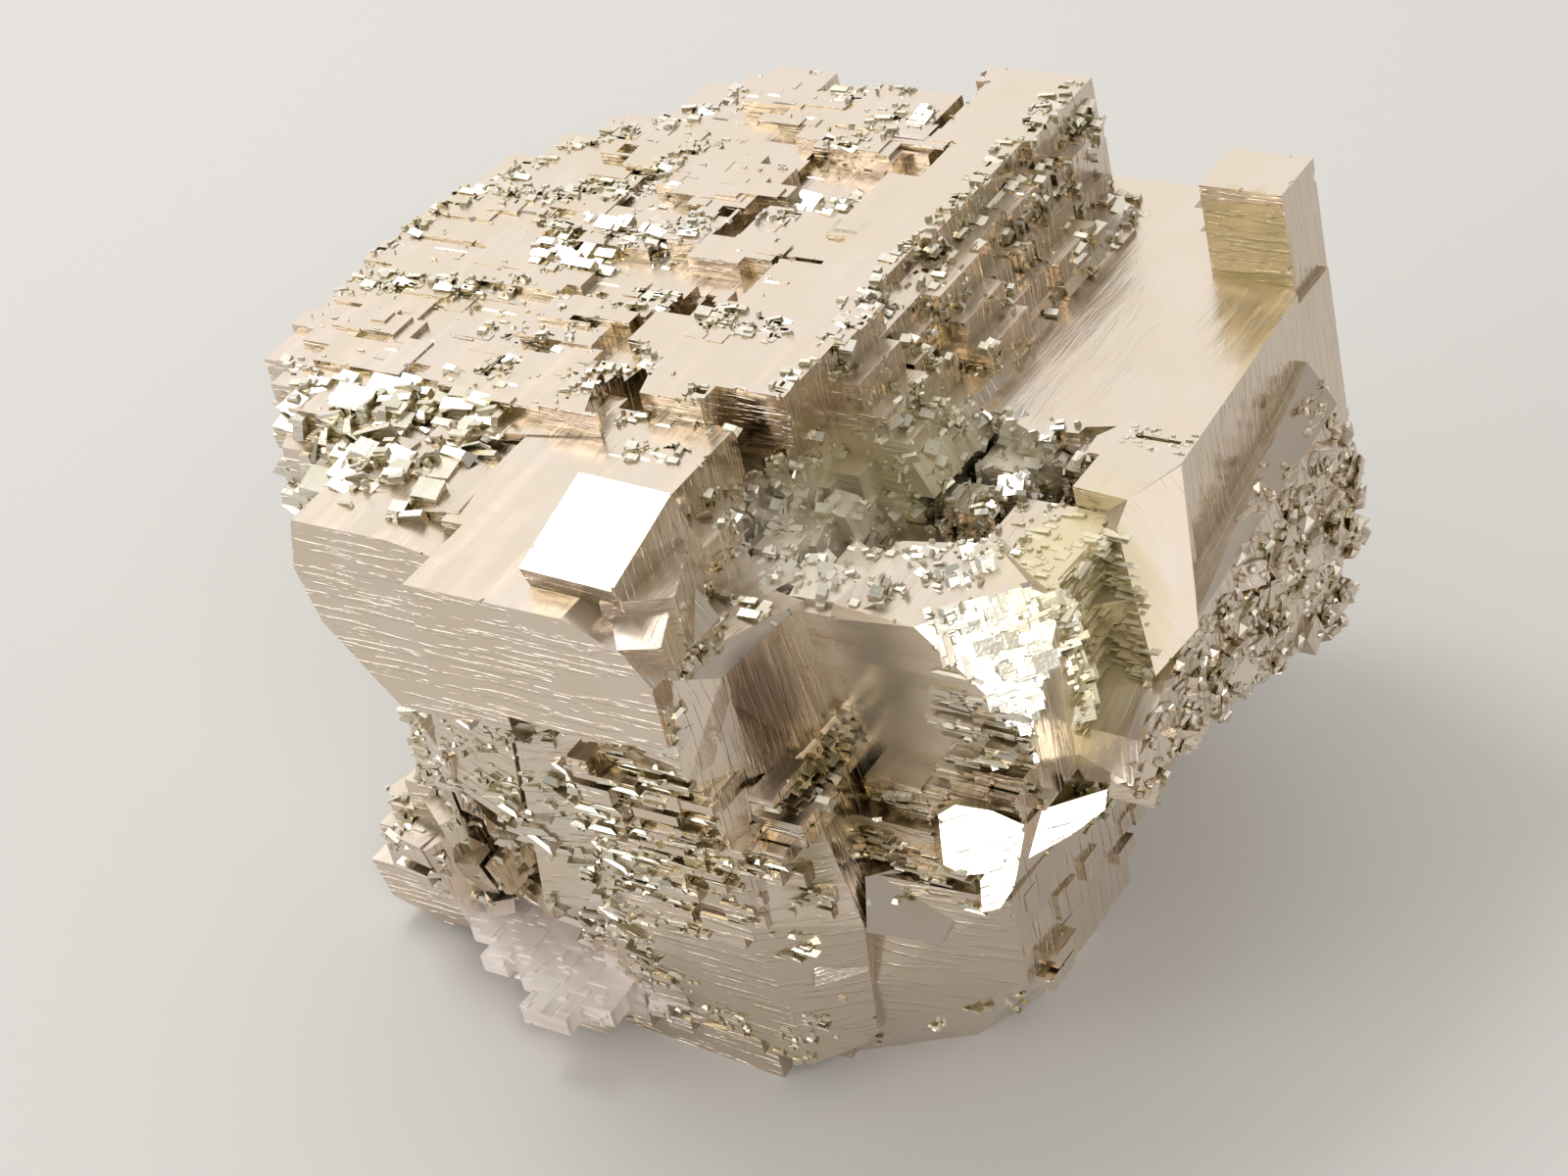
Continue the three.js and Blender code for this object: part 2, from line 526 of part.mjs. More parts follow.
function combs() {
  const leaning = (z) => -13.2 - 0.2 * z; // the wall under the terrace
  return [
    ...combedWall({ seed: 91, count: 44, x: [-1.5, 5.6], z: [13, 27.6], wallAt: (x, z) => leaning(z) }),
    ...combedWall({
      seed: 93, count: 22, x: [5.6, 9.8], z: [15, 25.4],
      wallAt: (x, z) => leaning(z) + (x - 5.6) * 0.66,
    }),
    ...combedWall({
      seed: 92, count: 28, x: [11.4, 17.2], z: [17, 21.2],
      wallAt: (x, z) => NICHE_Y - 0.3 - (22.5 - z) * 0.5,
    }),
    ...combedWall({
      seed: 94, count: 12, x: [15.4, 19.4], z: [20.6, 25.6],
      wallAt: (x, z) => NICHE_Y + 0.1 - (25.6 - z) * 0.2,
    }),
  ];
}

// ---- the specimen ----

function specimen() {
  const walls = [...frontWall(), ...flank(), ...bodyAndFoot(), ...cornerBlock(), ...combs()];
  const tops = join([...plateau(), ...shelf()]).subtract(join([...plateauPits(), ...shelfPits()]));
  return tops.add(join([...walls, ...terraceAndWing(), ...pit()])).subtract(cornerCleft());
}

function largestBody(manifold) {
  return manifold.decompose().sort((a, b) => b.volume() - a.volume())[0];
}

const grown = largestBody(specimen()).getMesh();
const geometry = new THREE.BufferGeometry();
geometry.setAttribute("position", new THREE.BufferAttribute(grown.vertProperties, 3));
geometry.setIndex(new THREE.BufferAttribute(grown.triVerts, 1));
geometry.computeBoundingBox();
const { min, max } = geometry.boundingBox;
const shift = [-(min.x + max.x) / 2, -(min.y + max.y) / 2, -min.z];
geometry.translate(...shift);
geometry.computeVertexNormals();

const pyrite = new THREE.MeshStandardMaterial({ color: 0xd8ccb8, metalness: 1, roughness: 0.28 });
const cluster = new THREE.Mesh(geometry, pyrite);
cluster.name = "pyrite_cluster";

const group = new THREE.Group();
group.add(cluster);
export default group;
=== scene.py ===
# %% [markdown]
# # A cluster of pyrite cubes
#
# Pyrite grows in cubes. In this hand specimen many of them have grown into each other: broad smooth faces,
# stepped walls, rough hollows full of tiny crystals. The construction model holds the large forms. This
# lesson dresses them: fine crystals are grown over the rough places with Geometry Nodes, and one material
# gives every face the lustre, the striations and the tarnish of the mineral.

# %% The frame
import math
import bmesh
import bpy
from mathutils import Matrix, Vector


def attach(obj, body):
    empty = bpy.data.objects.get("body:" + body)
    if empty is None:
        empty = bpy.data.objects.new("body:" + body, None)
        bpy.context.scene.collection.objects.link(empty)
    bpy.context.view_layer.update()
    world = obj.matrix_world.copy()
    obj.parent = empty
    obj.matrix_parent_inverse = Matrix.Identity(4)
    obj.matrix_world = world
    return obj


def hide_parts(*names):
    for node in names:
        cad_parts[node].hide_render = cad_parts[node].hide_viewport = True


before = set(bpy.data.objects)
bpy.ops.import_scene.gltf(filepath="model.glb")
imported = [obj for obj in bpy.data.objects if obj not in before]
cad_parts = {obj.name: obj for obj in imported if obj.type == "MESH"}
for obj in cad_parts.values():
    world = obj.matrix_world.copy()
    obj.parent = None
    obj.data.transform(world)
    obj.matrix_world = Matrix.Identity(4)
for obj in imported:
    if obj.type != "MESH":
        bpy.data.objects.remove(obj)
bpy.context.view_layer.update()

MM = 0.001
HEART = Vector((3.588, -7.741, 0)) * MM  # where the crystals' own count of X and Y starts


def spot(x, y, z):
    """A place in the specimen, counted in millimetres along the crystals' own axes, up from the base."""
    return Vector((x, y, z)) * MM + HEART


# %% [markdown]
# ## Colours and nodes
#
# Colours are written as sRGB hex, the way a colour picker shows them, and turned to linear light once,
# here. One small function adds a node, sets its inputs and makes its links, for shaders and geometry alike.

# %% Colours and a node helper


def hex_colour(code):
    channels = [int(code[i:i + 2], 16) / 255 for i in (1, 3, 5)]
    return (*(c / 12.92 if c <= 0.04045 else ((c + 0.055) / 1.055) ** 2.4 for c in channels), 1.0)


def add_node(tree, kind, inputs=None, **settings):
    """A node of that kind; an input that is another node's socket is linked, anything else is its value."""
    node = tree.nodes.new(kind)
    for name, value in settings.items():
        setattr(node, name, value)
    for name, value in (inputs or {}).items():
        for source in value if isinstance(value, list) else [value]:
            if isinstance(source, bpy.types.NodeSocket):
                tree.links.new(source, node.inputs[name])
            else:
                node.inputs[name].default_value = source
    return node


# %% [markdown]
# ## The camera
#
# It looks down on the front right corner, close and with a long lens, and is rolled a little, as when a
# specimen is held up to the light to show its steps.

# %% Camera
AZIMUTH, ELEVATION, ROLL = (math.radians(a) for a in (40, 34.8, 14))
TARGET = spot(0, 0, 24.5)
DISTANCE = 200 * MM
SENSOR, LENS = 36, 81

towards = Vector((math.sin(AZIMUTH) * math.cos(ELEVATION), -math.cos(AZIMUTH) * math.cos(ELEVATION),
                  math.sin(ELEVATION)))
level_right = Vector((math.cos(AZIMUTH), math.sin(AZIMUTH), 0))
level_up = towards.cross(level_right)
right = math.cos(ROLL) * level_right - math.sin(ROLL) * level_up
up = math.cos(ROLL) * level_up + math.sin(ROLL) * level_right

camera = bpy.data.objects.new("camera", bpy.data.cameras.new("camera"))
bpy.context.scene.collection.objects.link(camera)
camera.data.sensor_width, camera.data.lens = SENSOR, LENS
camera.matrix_world = (Matrix.Translation(TARGET + towards * DISTANCE)
                       @ Matrix((right, up, towards)).transposed().to_4x4())
bpy.context.scene.camera = camera
print("camera at, mm:", [round(v / MM, 1) for v in camera.matrix_world.translation])

# %% [markdown]
# ## Floor and light
#
# Polished pyrite shows what it mirrors, so the light is laid out by the mirror rule. A wide, even softbox
# stands behind the specimen on the left, where the level faces mirror it into the camera. A small lamp
# overhead and one above the camera are brighter: only the few crystals that lean the right way mirror them,
# and those glitter. The upright faces mirror the pale floor, which is darker than the softbox, so every
# step shows. A low lamp at the front is mirrored by the slanting flanks of their fine ridges, and a softbox
# at the side by the pale facet that cuts the shelf's corner.

# %% Floor and world
FLOOR_SIZE = 3.0
WORLD_STRENGTH = 0.50

floor_mesh = bpy.data.meshes.new("floor")
half = FLOOR_SIZE / 2
floor_mesh.from_pydata([(-half, -half, 0), (half, -half, 0), (half, half, 0), (-half, half, 0)], [],
                       [(0, 1, 2, 3)])
floor = bpy.data.objects.new("floor", floor_mesh)
bpy.context.scene.collection.objects.link(floor)
paper = bpy.data.materials.new("backdrop paper")
paper.use_nodes = True
paper_shader = paper.node_tree.nodes["Principled BSDF"]
paper_shader.inputs["Base Color"].default_value = hex_colour("#DAD7D3")
paper_shader.inputs["Roughness"].default_value = 0.9
floor_mesh.materials.append(paper)

world = bpy.data.worlds.new("studio")
bpy.context.scene.world = world
world.use_nodes = True
sky = world.node_tree.nodes["Background"]
sky.inputs["Color"].default_value = hex_colour("#F2F0EC")
sky.inputs["Strength"].default_value = WORLD_STRENGTH
bpy.context.scene.view_settings.view_transform = "Standard"

# %% Softboxes


def softbox(name, direction, distance, size, radiance):
    """A square area light that looks at the specimen; in metres, radiance as its mirror image shows it."""
    light = bpy.data.lights.new(name, "AREA")
    light.shape, light.size, light.energy = "SQUARE", size, radiance * math.pi * size ** 2
    holder = bpy.data.objects.new(name, light)
    bpy.context.scene.collection.objects.link(holder)
    away = Vector(direction).normalized()
    holder.location = TARGET + away * distance
    holder.rotation_euler = away.to_track_quat("Z", "Y").to_euler()
    print(name, "power:", round(light.energy, 2), "W")


softbox("back softbox", (-0.56, 0.60, 0.66), 0.50, 0.80, 0.70)
softbox("overhead lamp", (-0.51, 0.19, 0.84), 0.42, 0.14, 7.0)
softbox("camera lamp", (0.62, -0.52, 0.58), 0.50, 0.17, 5.0)
softbox("front lamp", (-0.60, -0.72, 0.30), 0.55, 0.30, 2.6)
softbox("side softbox", (0.94, 0.15, 0.32), 0.50, 0.36, 0.78)

# %% [markdown]
# ## The finish
#
# Pyrite is a metal to the eye: pale brass, hard and glossy, coloured by its own reflection. Growth leaves
# fine parallel lines on each cube face, and on neighbouring faces they run at right angles, which gives the
# mineral away. In hollows the colour is darkened to olive and brown as painted shade, standing in for the
# light that dies there between mirroring faces. A crust of crystals too small to tell apart looks milky,
# because it scatters the light.
#
# The lines are a stretched noise. Its coordinates are shuffled by the face's direction, so that they run
# along Y on the level faces, along X on the front and upright on the sides. Each patch of a face also leans
# by a hair, as grown crystal does, so that a mirror image breaks at its border.
#
# Broad faces, fine crystals and hollows have their own tint and gloss. One material serves all three: a
# face attribute, written by the growth below, says which habit a face has.

# %% Painted shade and light, tints and crusts, place by place
PLACES = [  # where it lies and how far it reaches, mm; its colour, how much that covers, how dull it is
    ((8.2, -13.4, 28.0), (1.7, 3.2, 4.6), "#66544A", 0.70, 0.0),  # painted shade: darkens the deep recess beside the nub
    ((9.2, -11.6, 20.0), (1.7, 4.4, 5.6), "#8A7C58", 0.80, 0.0),  # painted shade: darkens the cleft under it
    ((12.8, -8.4, 26.4), (5.2, 1.6, 7.0), "#DCCFBA", 0.60, 0.28),  # painted light: lifts the nub's front out of its shade
    ((18.8, 1.2, 24.0), (4.6, 6.2, 9.0), "#E8DBAA", 0.65, 0.45),  # the golden column
    ((17.8, 26.2, 33.8), (3.2, 1.0, 3.6), "#CBBB86", 0.70, 0.2),  # the front of the cube at the far corner
    ((5.0, 4.5, 31.0), (5.0, 7.0, 3.5), "#D0C69C", 0.60, 0.48),  # the back of the hollow
    ((11.3, 8.2, 30.0), (2.8, 2.4, 2.6), "#E8DFCA", 0.65, 0.55),  # its far corner, under the shelf
    ((6.0, -3.0, 30.0), (8.0, 5.5, 3.6), "#ECE4D4", 0.55, 0.46),  # its front, full of milky crystals
    ((-13.5, -13.4, 3.6), (10.0, 6.5, 2.4), "#F4EAE4", 0.97, 0.9),  # the ledge at the foot, under a pale film
]
CALM = [  # faces that grew last and carry hardly any lines: where, and how far they reach
    ((12.8, -8.1, 26.6), (5.2, 1.2, 6.6)),  # the front of the nub
    ((22.4, 2.5, 28.0), (2.2, 3.6, 3.6)),  # the facet that cuts the shelf's near corner
]

# %% Habits
HABIT = "habit"  # the face attribute
BROAD, FINE, SUNK = 0.0, 1.0, 2.0
TINTS = {  # pale and warm colour of each habit, and the painted-shade colour its recesses darken to
    BROAD: ("#DCCEC0", "#DACCB8", "#ACA284"),
    FINE: ("#E2DCD0", "#DAD2BD", "#B3A77F"),
    # the pits' faces are darker in every column: painted shade of their depth
    SUNK: ("#D0C6AB", "#C3B792", "#8F845B"),
}

# %% Pyrite


def pyrite(name):
    material = bpy.data.materials.new(name)
    material.use_nodes = True
    tree = material.node_tree
    shader = tree.nodes["Principled BSDF"]
    place = add_node(tree, "ShaderNodeTexCoord").outputs["Object"]
    in_mm = add_node(tree, "ShaderNodeVectorMath", {0: place, "Scale": 1 / MM}, operation="SCALE").outputs[0]
    x, y, z = add_node(tree, "ShaderNodeSeparateXYZ", {0: in_mm}).outputs
    normal = add_node(tree, "ShaderNodeNewGeometry").outputs["True Normal"]
    size = add_node(tree, "ShaderNodeVectorMath", {0: normal}, operation="ABSOLUTE").outputs[0]
    looks_side, _, looks_up = add_node(tree, "ShaderNodeSeparateXYZ", {0: size}).outputs

    def share(value, low, high, to_low=0.0, to_high=1.0):
        return add_node(tree, "ShaderNodeMapRange", {"Value": value, "From Min": low, "From Max": high,
                                                     "To Min": to_low, "To Max": to_high}).outputs[0]

    def blend(factor, a, b, kind="VECTOR"):
        first, second, result = {"FLOAT": (2, 3, 0), "VECTOR": (4, 5, 1), "RGBA": (6, 7, 2)}[kind]
        mix = add_node(tree, "ShaderNodeMix", {0: factor, first: a, second: b}, data_type=kind)
        return mix.outputs[result]

    habit = add_node(tree, "ShaderNodeAttribute", attribute_name=HABIT).outputs["Fac"]
    is_fine, is_sunk = share(habit, BROAD, FINE), share(habit, FINE, SUNK)

    def by_habit(which):
        broad, fine, sunk = (hex_colour(TINTS[kind][which]) for kind in (BROAD, FINE, SUNK))
        return blend(is_sunk, blend(is_fine, broad, fine, "RGBA"), sunk, "RGBA")

    up_share, side_share = share(looks_up, 0.65, 0.67), share(looks_side, 0.65, 0.67)
    on_front = add_node(tree, "ShaderNodeCombineXYZ", {0: z, 1: x, 2: y}).outputs[0]
    on_side = add_node(tree, "ShaderNodeCombineXYZ", {0: y, 1: z, 2: x}).outputs[0]
    combed = blend(up_share, blend(side_share, on_front, on_side), in_mm)

    def stretched(across, along):
        return add_node(tree, "ShaderNodeVectorMath", {0: combed, 1: (1 / across, 1 / along, 1 / along)},
                        operation="MULTIPLY").outputs[0]

    def noise(where, scale, detail):
        return add_node(tree, "ShaderNodeTexNoise",
                        {"Vector": where, "Scale": scale, "Detail": detail}).outputs[0]

    # each patch leans by up to about a degree and a half each way, and its border is a line
    patches = add_node(tree, "ShaderNodeTexVoronoi",
                       {"Vector": stretched(1.6, 5.0), "Scale": 1.0}).outputs["Color"]
    lean = add_node(tree, "ShaderNodeVectorMath", {0: patches, 1: (0.5, 0.5, 0.5)},
                    operation="SUBTRACT").outputs[0]
    leaning = add_node(tree, "ShaderNodeVectorMath", {0: lean, 1: (0.05, 0.05, 0.05), 2: normal},
                       operation="MULTIPLY_ADD").outputs[0]
    relief = add_node(tree, "ShaderNodeVectorMath", {0: leaning}, operation="NORMALIZE").outputs[0]

    waves = noise(in_mm, 1 / 4, 2.0)
    coarse = noise(stretched(0.9, 8.0), 1.0, 2.0)

    def inside(centre, reach):
        """1 inside the place, 0 outside, with a ragged border between."""
        away = add_node(tree, "ShaderNodeVectorMath", {0: in_mm, 1: spot(*centre) / MM},
                        operation="SUBTRACT").outputs[0]
        away = add_node(tree, "ShaderNodeVectorMath", {0: away, 1: reach}, operation="DIVIDE").outputs[0]
        away = add_node(tree, "ShaderNodeVectorMath", {0: away}, operation="LENGTH").outputs["Value"]
        ragged = add_node(tree, "ShaderNodeMath", {0: coarse, 1: away}, operation="ADD").outputs[0]
        return share(ragged, 1.7, 1.2)

    ridges = share(noise(stretched(0.35, 5.0), 1.0, 3.0), 0.53, 0.60)  # flat between, steep at their sides
    combing = share(is_fine, 0.0, 1.0, 1.0, 0.4)  # the lines are fainter on small crystals
    steep = share(looks_up, 0.2, 0.45, 1.0, 0.2)  # the ridges are high on upright faces alone
    grit = share(is_fine, 0.0, 1.0, 0.45, 1.0)  # the grit is fainter on broad faces
    hairlines = noise(stretched(0.16, 3.5), 1.0, 3.0)
    grains = noise(in_mm, 1 / 0.22, 3.0)
    for height, depth, strength in [(waves, 0.06, 1.0), (coarse, 0.03, combing), (ridges, 0.03, steep),
                                    (hairlines, 0.009, combing), (grains, 0.012, grit)]:
        relief = add_node(tree, "ShaderNodeBump", {"Height": height, "Distance": depth * MM,
                                                   "Strength": strength, "Normal": relief}).outputs[0]

    # painted shade: where other faces lie within 2 mm, the colour is darkened towards the habit's shade
    # colour
    recess_shade = add_node(tree, "ShaderNodeAmbientOcclusion", {"Distance": 2.0 * MM}, samples=4,
                         only_local=True).outputs["AO"]
    colour = blend(share(waves, 0.35, 0.65), by_habit(0), by_habit(1), "RGBA")
    colour = blend(share(recess_shade, 0.6, 0.1), colour, by_habit(2), "RGBA")
    dull = 0.0
    for centre, reach, tint, cover, dullness in PLACES:
        within = inside(centre, reach)
        colour = blend(share(within, 0.0, 1.0, 0.0, cover), colour, hex_colour(tint), "RGBA")
        dull = blend(within, dull, dullness, "FLOAT")
    for centre, reach in CALM:
        relief = blend(inside(centre, reach), relief, leaning)

    tree.links.new(share(dull, 0.0, 1.0, 1.0, 0.0), shader.inputs["Metallic"])
    tree.links.new(colour, shader.inputs["Base Color"])
    satin = share(coarse, 0.3, 0.7, 0.2, 0.32)
    gloss = blend(is_fine, blend(up_share, 0.15, satin, "FLOAT"), 0.26, "FLOAT")
    gloss = blend(dull, gloss, 0.6, "FLOAT")
    tree.links.new(gloss, shader.inputs["Roughness"])
    tree.links.new(relief, shader.inputs["Normal"])
    return material


PYRITE = pyrite("striated natural pyrite")

# %% [markdown]
# ## The block that everything grows on
#
# The construction model's mesh is loose triangles. A copy is welded, so that it is one closed skin, and the
# fine growth is joined to that copy. The construction model itself is hidden, not changed.

# %% Welded copy
WELD = 0.0005 * MM

specimen_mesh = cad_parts["pyrite_cluster"].data.copy()
work = bmesh.new()
work.from_mesh(specimen_mesh)
bmesh.ops.remove_doubles(work, verts=work.verts, dist=WELD)
work.to_mesh(specimen_mesh)
print("welded copy:", len(work.faces), "faces,", sum(not e.is_manifold for e in work.edges), "open edges")
work.free()
specimen = bpy.data.objects.new("dressed_pyrite", specimen_mesh)
bpy.context.scene.collection.objects.link(specimen)
specimen_mesh.materials.clear()
specimen_mesh.attributes.new(HABIT, "FLOAT", "FACE")  # starts as BROAD everywhere

# %% [markdown]
# ## Growth, one rule for every rough place
#
# Rough pyrite is many small cubes, nearly parallel to the big ones, crowded where something disturbed the
# growth. Each could be placed by hand, but a rule is truer: points are scattered over the faces that look a
# given way inside a given box, near a given line or in clumps that a noise picks, and each point gets a
# small crystal. A Boolean union then fuses them with the block, so that the result is still one closed
# solid. With a difference in place of the union, the same rule makes pits.
#
# The crystals wait as instances until the Boolean takes them in, because it expects solids that are each
# closed and clear of themselves. Their faces carry their habit with them into the result.

# %% Helpers for geometry trees


def new_tree(title, inputs):
    tree = bpy.data.node_groups.new(title, "GeometryNodeTree")
    tree.interface.new_socket("Block", in_out="INPUT", socket_type="NodeSocketGeometry")
    for name, kind in inputs:
        tree.interface.new_socket(name, in_out="INPUT", socket_type="NodeSocket" + kind)
    tree.interface.new_socket("Worked block", in_out="OUTPUT", socket_type="NodeSocketGeometry")
    return tree, add_node(tree, "NodeGroupInput").outputs


def piece_for(tree, given, shape):
    """One small solid to repeat, with its habit written on its faces."""
    told = add_node(tree, "GeometryNodeStoreNamedAttribute",
                    {"Geometry": shape, "Name": HABIT, "Value": given["Habit"]},
                    data_type="FLOAT", domain="FACE")
    return add_node(tree, "GeometryNodeGeometryToInstance", {0: told.outputs[0]}).outputs[0]


def fuse_and_finish(tree, given, pieces, operation):
    """Joins the pieces to the block, or cuts them out of it."""
    block = given["Block"]
    solids = {"Mesh 2": [block, pieces]} if operation == "UNION" else {"Mesh 1": block, "Mesh 2": pieces}
    fused = add_node(tree, "GeometryNodeMeshBoolean", solids, operation=operation, solver="MANIFOLD")
    real = add_node(tree, "GeometryNodeRealizeInstances", {0: fused.outputs["Mesh"]})
    done = add_node(tree, "GeometryNodeSetMaterial",
                    {"Geometry": real.outputs[0], "Material": given["Finish"]})
    add_node(tree, "NodeGroupOutput", {"Worked block": done.outputs[0]})


def skewed_sizes(tree, given):
    """Random sizes between Smallest and Largest, of which most are small."""
    chance = add_node(tree, "FunctionNodeRandomValue", {"Seed": given["Seed"]}, data_type="FLOAT_VECTOR")
    squared = add_node(tree, "ShaderNodeVectorMath",
                       {0: chance.outputs["Value"], 1: chance.outputs["Value"]}, operation="MULTIPLY")
    span = add_node(tree, "ShaderNodeVectorMath", {0: given["Largest"], 1: given["Smallest"]},
                    operation="SUBTRACT")
    return add_node(tree, "ShaderNodeVectorMath",
                    {0: squared.outputs[0], 1: span.outputs[0], 2: given["Smallest"]},
                    operation="MULTIPLY_ADD").outputs[0]


def random_turns(tree, given):
    """Random angles about all three axes, up to Tilt either way."""
    least = add_node(tree, "ShaderNodeMath", {0: given["Tilt"], 1: -1.0}, operation="MULTIPLY")
    return add_node(tree, "FunctionNodeRandomValue",
                    {"Min": least.outputs[0], "Max": given["Tilt"], "Seed": given["Seed"]},
                    data_type="FLOAT_VECTOR").outputs["Value"]


# %% Growth tree
GROWTH_INPUTS = [
    ("Density", "Float"), ("Low corner", "Vector"), ("High corner", "Vector"), ("Facing", "Vector"),
    ("Least cosine", "Float"), ("Clump size", "Vector"), ("Clump level", "Float"), ("Seams", "Object"),
    ("Seam reach", "Float"), ("Smallest", "Vector"), ("Largest", "Vector"), ("Turn", "Vector"),
    ("Tilt", "Float"), ("Rounded", "Bool"), ("Seed", "Int"), ("Habit", "Float"), ("Finish", "Material"),
]


def growth_tree(operation):
    tree, given = new_tree(f"crystal growth, {operation.lower()}", GROWTH_INPUTS)
    place = add_node(tree, "GeometryNodeInputPosition").outputs["Position"]
    normal = add_node(tree, "GeometryNodeInputNormal").outputs["Normal"]

    def is_true(kind, test, a, b, **settings):
        first = 4 if kind == "VECTOR" else 0
        return add_node(tree, "FunctionNodeCompare", {first: a, first + 1: b}, data_type=kind, operation=test,
                        **settings).outputs[0]

    def both(a, b):
        return add_node(tree, "FunctionNodeBooleanMath", {0: a, 1: b}).outputs[0]

    above = is_true("VECTOR", "GREATER_THAN", place, given["Low corner"], mode="ELEMENT")
    below = is_true("VECTOR", "LESS_THAN", place, given["High corner"], mode="ELEMENT")
    cosine = add_node(tree, "ShaderNodeVectorMath", {0: normal, 1: given["Facing"]}, operation="DOT_PRODUCT")
    faces_it = is_true("FLOAT", "GREATER_THAN", cosine.outputs["Value"], given["Least cosine"])
    points = add_node(tree, "GeometryNodeDistributePointsOnFaces",
                      {"Mesh": given["Block"], "Selection": faces_it, "Density": given["Density"],
                       "Seed": given["Seed"]}).outputs["Points"]

    clump_place = add_node(tree, "ShaderNodeVectorMath", {0: place, 1: given["Clump size"]},
                           operation="DIVIDE")
    clumps = add_node(tree, "ShaderNodeTexNoise",
                      {"Vector": clump_place.outputs[0], "Scale": 1.0, "Detail": 2.0})
    crowded = is_true("FLOAT", "GREATER_THAN", clumps.outputs["Fac"], given["Clump level"])
    lines = add_node(tree, "GeometryNodeObjectInfo", {"Object": given["Seams"]}).outputs["Geometry"]
    apart = add_node(tree, "GeometryNodeProximity", {0: lines}, target_element="EDGES").outputs["Distance"]
    near = is_true("FLOAT", "LESS_THAN", apart, given["Seam reach"])
    wanted = both(both(above, below), both(crowded, near))
    unwanted = add_node(tree, "FunctionNodeBooleanMath", {0: wanted}, operation="NOT").outputs[0]
    kept = add_node(tree, "GeometryNodeDeleteGeometry",
                    {"Geometry": points, "Selection": unwanted}).outputs[0]

    cube = add_node(tree, "GeometryNodeMeshCube", {"Size": (1, 1, 1)}).outputs[0]
    cone = add_node(tree, "GeometryNodeMeshCone", {"Vertices": 4, "Radius Top": 0.42, "Radius Bottom": 0.74,
                                                   "Depth": 1.0}).outputs[0]
    tapered = add_node(tree, "GeometryNodeTransform", {"Geometry": cone, "Translation": (0, 0, -0.5),
                                                       "Rotation": (0, 0, math.radians(45))}).outputs[0]
    pebble = add_node(tree, "GeometryNodeMeshIcoSphere", {"Radius": 0.5, "Subdivisions": 1}).outputs[0]
    instances = [piece_for(tree, given, shape) for shape in (cube, tapered, pebble)]
    crystals = add_node(tree, "GeometryNodeJoinGeometry", {0: instances[:2]}).outputs[0]
    kinds = add_node(tree, "GeometryNodeSwitch", {"Switch": given["Rounded"], "False": crystals,
                                                  "True": instances[2]}, input_type="GEOMETRY").outputs[0]
    turned = add_node(tree, "ShaderNodeVectorMath",
                      {0: given["Turn"], 1: random_turns(tree, given)}).outputs[0]
    grown = add_node(tree, "GeometryNodeInstanceOnPoints",
                     {"Points": kept, "Instance": kinds, "Pick Instance": True,
                      "Scale": skewed_sizes(tree, given), "Rotation": turned}).outputs[0]
    fuse_and_finish(tree, given, grown, operation)
    return tree


TREES = {"grow": growth_tree("UNION"), "pit": growth_tree("DIFFERENCE")}

# %% Applying a tree


def work_over(title, tree, values):
    """One modifier on the specimen; the values are set by their sockets' identifiers."""
    modifier = specimen.modifiers.new(title, "NODES")
    modifier.node_group = tree
    for item in tree.interface.items_tree:
        if item.in_out == "INPUT" and item.name in values:
            modifier[item.identifier] = values[item.name]


# %% [markdown]
# ## Chipped edges
#
# No long edge of a real crystal is perfect: it is nicked wherever it was knocked or where growth stopped
# short. The nicks could be modelled one by one, but they follow a rule: they sit on long convex edges, here
# and there. So the tree turns those edges to curves, drops small turned cubes along them and cuts them out.

# %% Chip tree


def chip_tree():
    tree, given = new_tree("chipped edges", [
        ("Least angle", "Float"), ("Shortest edge", "Float"), ("Spacing", "Float"), ("Share", "Float"),
        ("Smallest", "Vector"), ("Largest", "Vector"), ("Tilt", "Float"), ("Seed", "Int"), ("Habit", "Float"),
        ("Finish", "Material")])
    angle = add_node(tree, "GeometryNodeInputMeshEdgeAngle").outputs["Signed Angle"]
    ends = add_node(tree, "GeometryNodeInputMeshEdgeVertices").outputs
    length = add_node(tree, "ShaderNodeVectorMath", {0: ends["Position 1"], 1: ends["Position 2"]},
                      operation="DISTANCE").outputs["Value"]
    sharp = add_node(tree, "FunctionNodeCompare", {0: angle, 1: given["Least angle"]},
                     operation="GREATER_THAN").outputs[0]
    long = add_node(tree, "FunctionNodeCompare", {0: length, 1: given["Shortest edge"]},
                    operation="GREATER_THAN").outputs[0]
    chosen = add_node(tree, "FunctionNodeBooleanMath", {0: sharp, 1: long}).outputs[0]
    curves = add_node(tree, "GeometryNodeMeshToCurve",
                      {"Mesh": given["Block"], "Selection": chosen}).outputs[0]
    beads = add_node(tree, "GeometryNodeCurveToPoints", {"Curve": curves, "Length": given["Spacing"]},
                     mode="LENGTH").outputs["Points"]
    some = add_node(tree, "FunctionNodeRandomValue", {"Probability": given["Share"], "Seed": given["Seed"]},
                    data_type="BOOLEAN").outputs["Value"]
    cube = add_node(tree, "GeometryNodeMeshCube", {"Size": (1, 1, 1)}).outputs[0]
    nicks = add_node(tree, "GeometryNodeInstanceOnPoints",
                     {"Points": beads, "Selection": some, "Instance": piece_for(tree, given, cube),
                      "Pick Instance": True, "Scale": skewed_sizes(tree, given),
                      "Rotation": random_turns(tree, given)}).outputs[0]
    fuse_and_finish(tree, given, nicks, "DIFFERENCE")
    return tree


work_over("chips", chip_tree(), {
    "Least angle": math.radians(50), "Shortest edge": 2.2 * MM, "Spacing": 1.2 * MM, "Share": 0.20,
    "Smallest": [0.12 * MM] * 3, "Largest": [0.55 * MM] * 3, "Tilt": math.radians(50), "Seed": 20,
    "Habit": FINE, "Finish": PYRITE})

